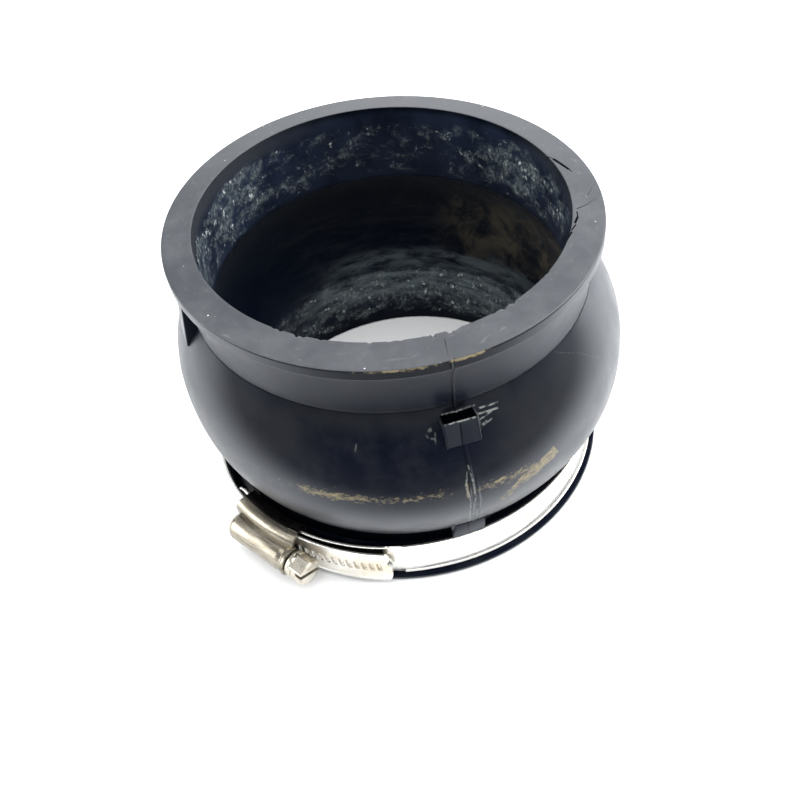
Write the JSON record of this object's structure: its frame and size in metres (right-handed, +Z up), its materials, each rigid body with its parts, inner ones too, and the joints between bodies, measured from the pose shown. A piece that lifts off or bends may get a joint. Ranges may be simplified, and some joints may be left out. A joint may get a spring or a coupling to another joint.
{
  "type": "exhaust joint",
  "caption": "Moulded rubber exhaust sleeve with a flat top rim, a bulged body and a worm-drive clamp in the groove at its foot.",
  "frame": {"origin": "on the joint's axis, in the plane that its lower end stands on", "axes": "+Z up along the bore to the rim, -Y towards the side the picture shows, the clamp's screw on the -X -Y side"},
  "size_m": [0.1213, 0.1206, 0.0816],
  "materials": {
    "rubber_sleeve": "moulded, satin, salt-stained inside",
    "clamp_band": "bright rolled strip",
    "clamp_housing": "pressed, dull bright",
    "clamp_screw": "turned, dull bright"
  },
  "bodies": {
    "joint": {"rubber_sleeve": "rubber_sleeve", "clamp_band": "clamp_band", "clamp_housing": "clamp_housing"},
    "screw": {"clamp_screw": "clamp_screw"}
  },
  "joints": [
    {"name": "screw_turn", "type": "hinge", "parent": "joint", "child": "screw", "pos_m": [-0.0435, -0.04305, 0.0079], "axis": [0.7034, -0.7108, 0], "range_deg": [-900, 3960]}
  ]
}
